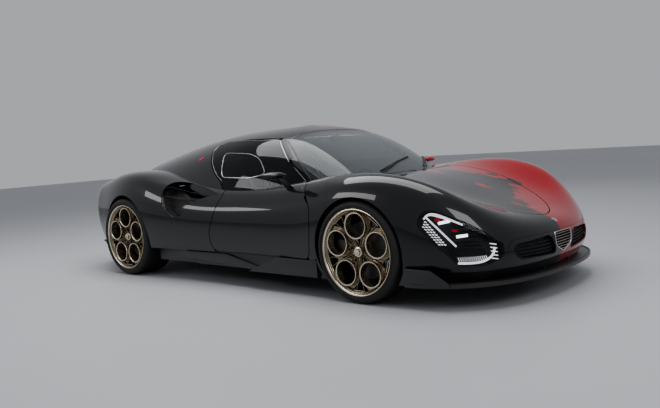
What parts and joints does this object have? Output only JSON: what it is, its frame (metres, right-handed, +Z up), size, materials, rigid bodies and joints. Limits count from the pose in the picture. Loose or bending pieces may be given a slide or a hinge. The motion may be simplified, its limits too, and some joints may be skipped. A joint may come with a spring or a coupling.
{
  "type": "mid-engined sports coupe",
  "caption": "Low mid-engined sports car with butterfly doors, opening front and rear lids, steered front wheels and a hollow cabin.",
  "frame": {"origin": "on the ground under the middle of the car", "axes": "+X towards the nose, +Y to the car's left, +Z up"},
  "size_m": [4.637, 2.128, 1.225],
  "materials": {
    "paint_black": "high gloss",
    "paint_red": "high gloss",
    "dark_satin": "satin, bare composite",
    "glass": "clear",
    "dark_glass": "tinted",
    "lamp_housing": "clear-covered lamp",
    "red_lens": "gloss",
    "bronze_alloy": "satin bronze",
    "tyre": "matt",
    "disc": "machined",
    "alloy": "cast",
    "steel": "bright",
    "dark_frame": "matt composite",
    "leather": "soft",
    "engine": "cast",
    "exhaust_metal": "heat tinted"
  },
  "bodies": {
    "chassis": {"tub": "dark_frame", "front_frame": "dark_frame", "rear_frame": "dark_frame", "jacking_pads": "dark_frame", "roof": "paint_black", "windshield": "glass", "cowl": "paint_black", "front_fender_right": "paint_black", "front_fender_left": "paint_red", "front_bumper": "paint_black", "grille": "alloy", "headlights": "lamp_housing", "splitter": "dark_satin", "side_skirts": "dark_satin", "rear_fender_right": "paint_black", "rear_fender_left": "paint_black", "side_intakes": "dark_satin", "rear_bumper": "paint_black", "hinges": "steel", "diffuser": "dark_satin", "exhaust": "exhaust_metal", "tail_lights": "red_lens", "front_arch_liners": "dark_frame", "rear_arch_liners": "dark_frame", "suspension_arms": "alloy", "seats": "leather", "dashboard": "leather", "engine_block": "engine", "knuckle_rear_right": "alloy", "knuckle_rear_left": "alloy"},
    "hood_lid": {"hood": "paint_black"},
    "rear_lid": {"engine_cover": "paint_black", "rear_glass": "dark_glass"},
    "right_door": {"door_right": "paint_black", "door_glass_right": "dark_glass", "mirror_right": "paint_black"},
    "left_door": {"door_left": "paint_black", "door_glass_left": "dark_glass", "mirror_left": "paint_red"},
    "right_upright": {"knuckle_front_right": "alloy"},
    "left_upright": {"knuckle_front_left": "alloy"},
    "steering": {"steering_wheel": "leather"},
    "front_right_wheel": {"wheel_front_right": "bronze_alloy", "tyre_front_right": "tyre", "disc_front_right": "disc"},
    "front_left_wheel": {"wheel_front_left": "bronze_alloy", "tyre_front_left": "tyre", "disc_front_left": "disc"},
    "rear_right_wheel": {"wheel_rear_right": "bronze_alloy", "tyre_rear_right": "tyre", "disc_rear_right": "disc"},
    "rear_left_wheel": {"wheel_rear_left": "bronze_alloy", "tyre_rear_left": "tyre", "disc_rear_left": "disc"}
  },
  "joints": [
    {"name": "hood_hinge", "type": "hinge", "parent": "chassis", "child": "hood_lid", "pos_m": [1.118, 0, 0.795], "axis": [0, -1, 0], "range_deg": [0, 60]},
    {"name": "rear_lid_hinge", "type": "hinge", "parent": "chassis", "child": "rear_lid", "pos_m": [-0.769, 0, 1.161], "axis": [0, 1, 0], "range_deg": [0, 45]},
    {"name": "left_door_hinge", "type": "hinge", "parent": "chassis", "child": "left_door", "pos_m": [0.845, 0.89, 0.69], "axis": [0.7121, 0.4715, -0.5202], "range_deg": [0, 65]},
    {"name": "right_door_hinge", "type": "hinge", "parent": "chassis", "child": "right_door", "pos_m": [0.845, -0.89, 0.69], "axis": [-0.7121, 0.4715, 0.5202], "range_deg": [0, 65]},
    {"name": "left_steer", "type": "hinge", "parent": "chassis", "child": "left_upright", "pos_m": [1.31, 0.7725, 0.34], "axis": [0, 0, 1], "range_deg": [-30, 30]},
    {"name": "right_steer", "type": "hinge", "parent": "chassis", "child": "right_upright", "pos_m": [1.31, -0.7725, 0.34], "axis": [0, 0, 1], "range_deg": [-30, 30]},
    {"name": "steering_column", "type": "hinge", "parent": "chassis", "child": "steering", "pos_m": [0.3, 0.35, 0.66], "axis": [-0.9135, 0, 0.4067], "range_deg": [-420, 420]},
    {"name": "front_left_spin", "type": "hinge", "parent": "left_upright", "child": "front_left_wheel", "pos_m": [1.31, 0.8375, 0.34], "axis": [0, 1, 0], "continuous": true},
    {"name": "front_right_spin", "type": "hinge", "parent": "right_upright", "child": "front_right_wheel", "pos_m": [1.31, -0.8375, 0.34], "axis": [0, 1, 0], "continuous": true},
    {"name": "rear_left_spin", "type": "hinge", "parent": "chassis", "child": "rear_left_wheel", "pos_m": [-1.39, 0.8125, 0.345], "axis": [0, 1, 0], "continuous": true},
    {"name": "rear_right_spin", "type": "hinge", "parent": "chassis", "child": "rear_right_wheel", "pos_m": [-1.39, -0.8125, 0.345], "axis": [0, 1, 0], "continuous": true}
  ],
  "couplings": [
    {"joint": "right_steer", "follows": "left_steer", "ratio": 1},
    {"joint": "steering_column", "follows": "left_steer", "ratio": 14}
  ]
}
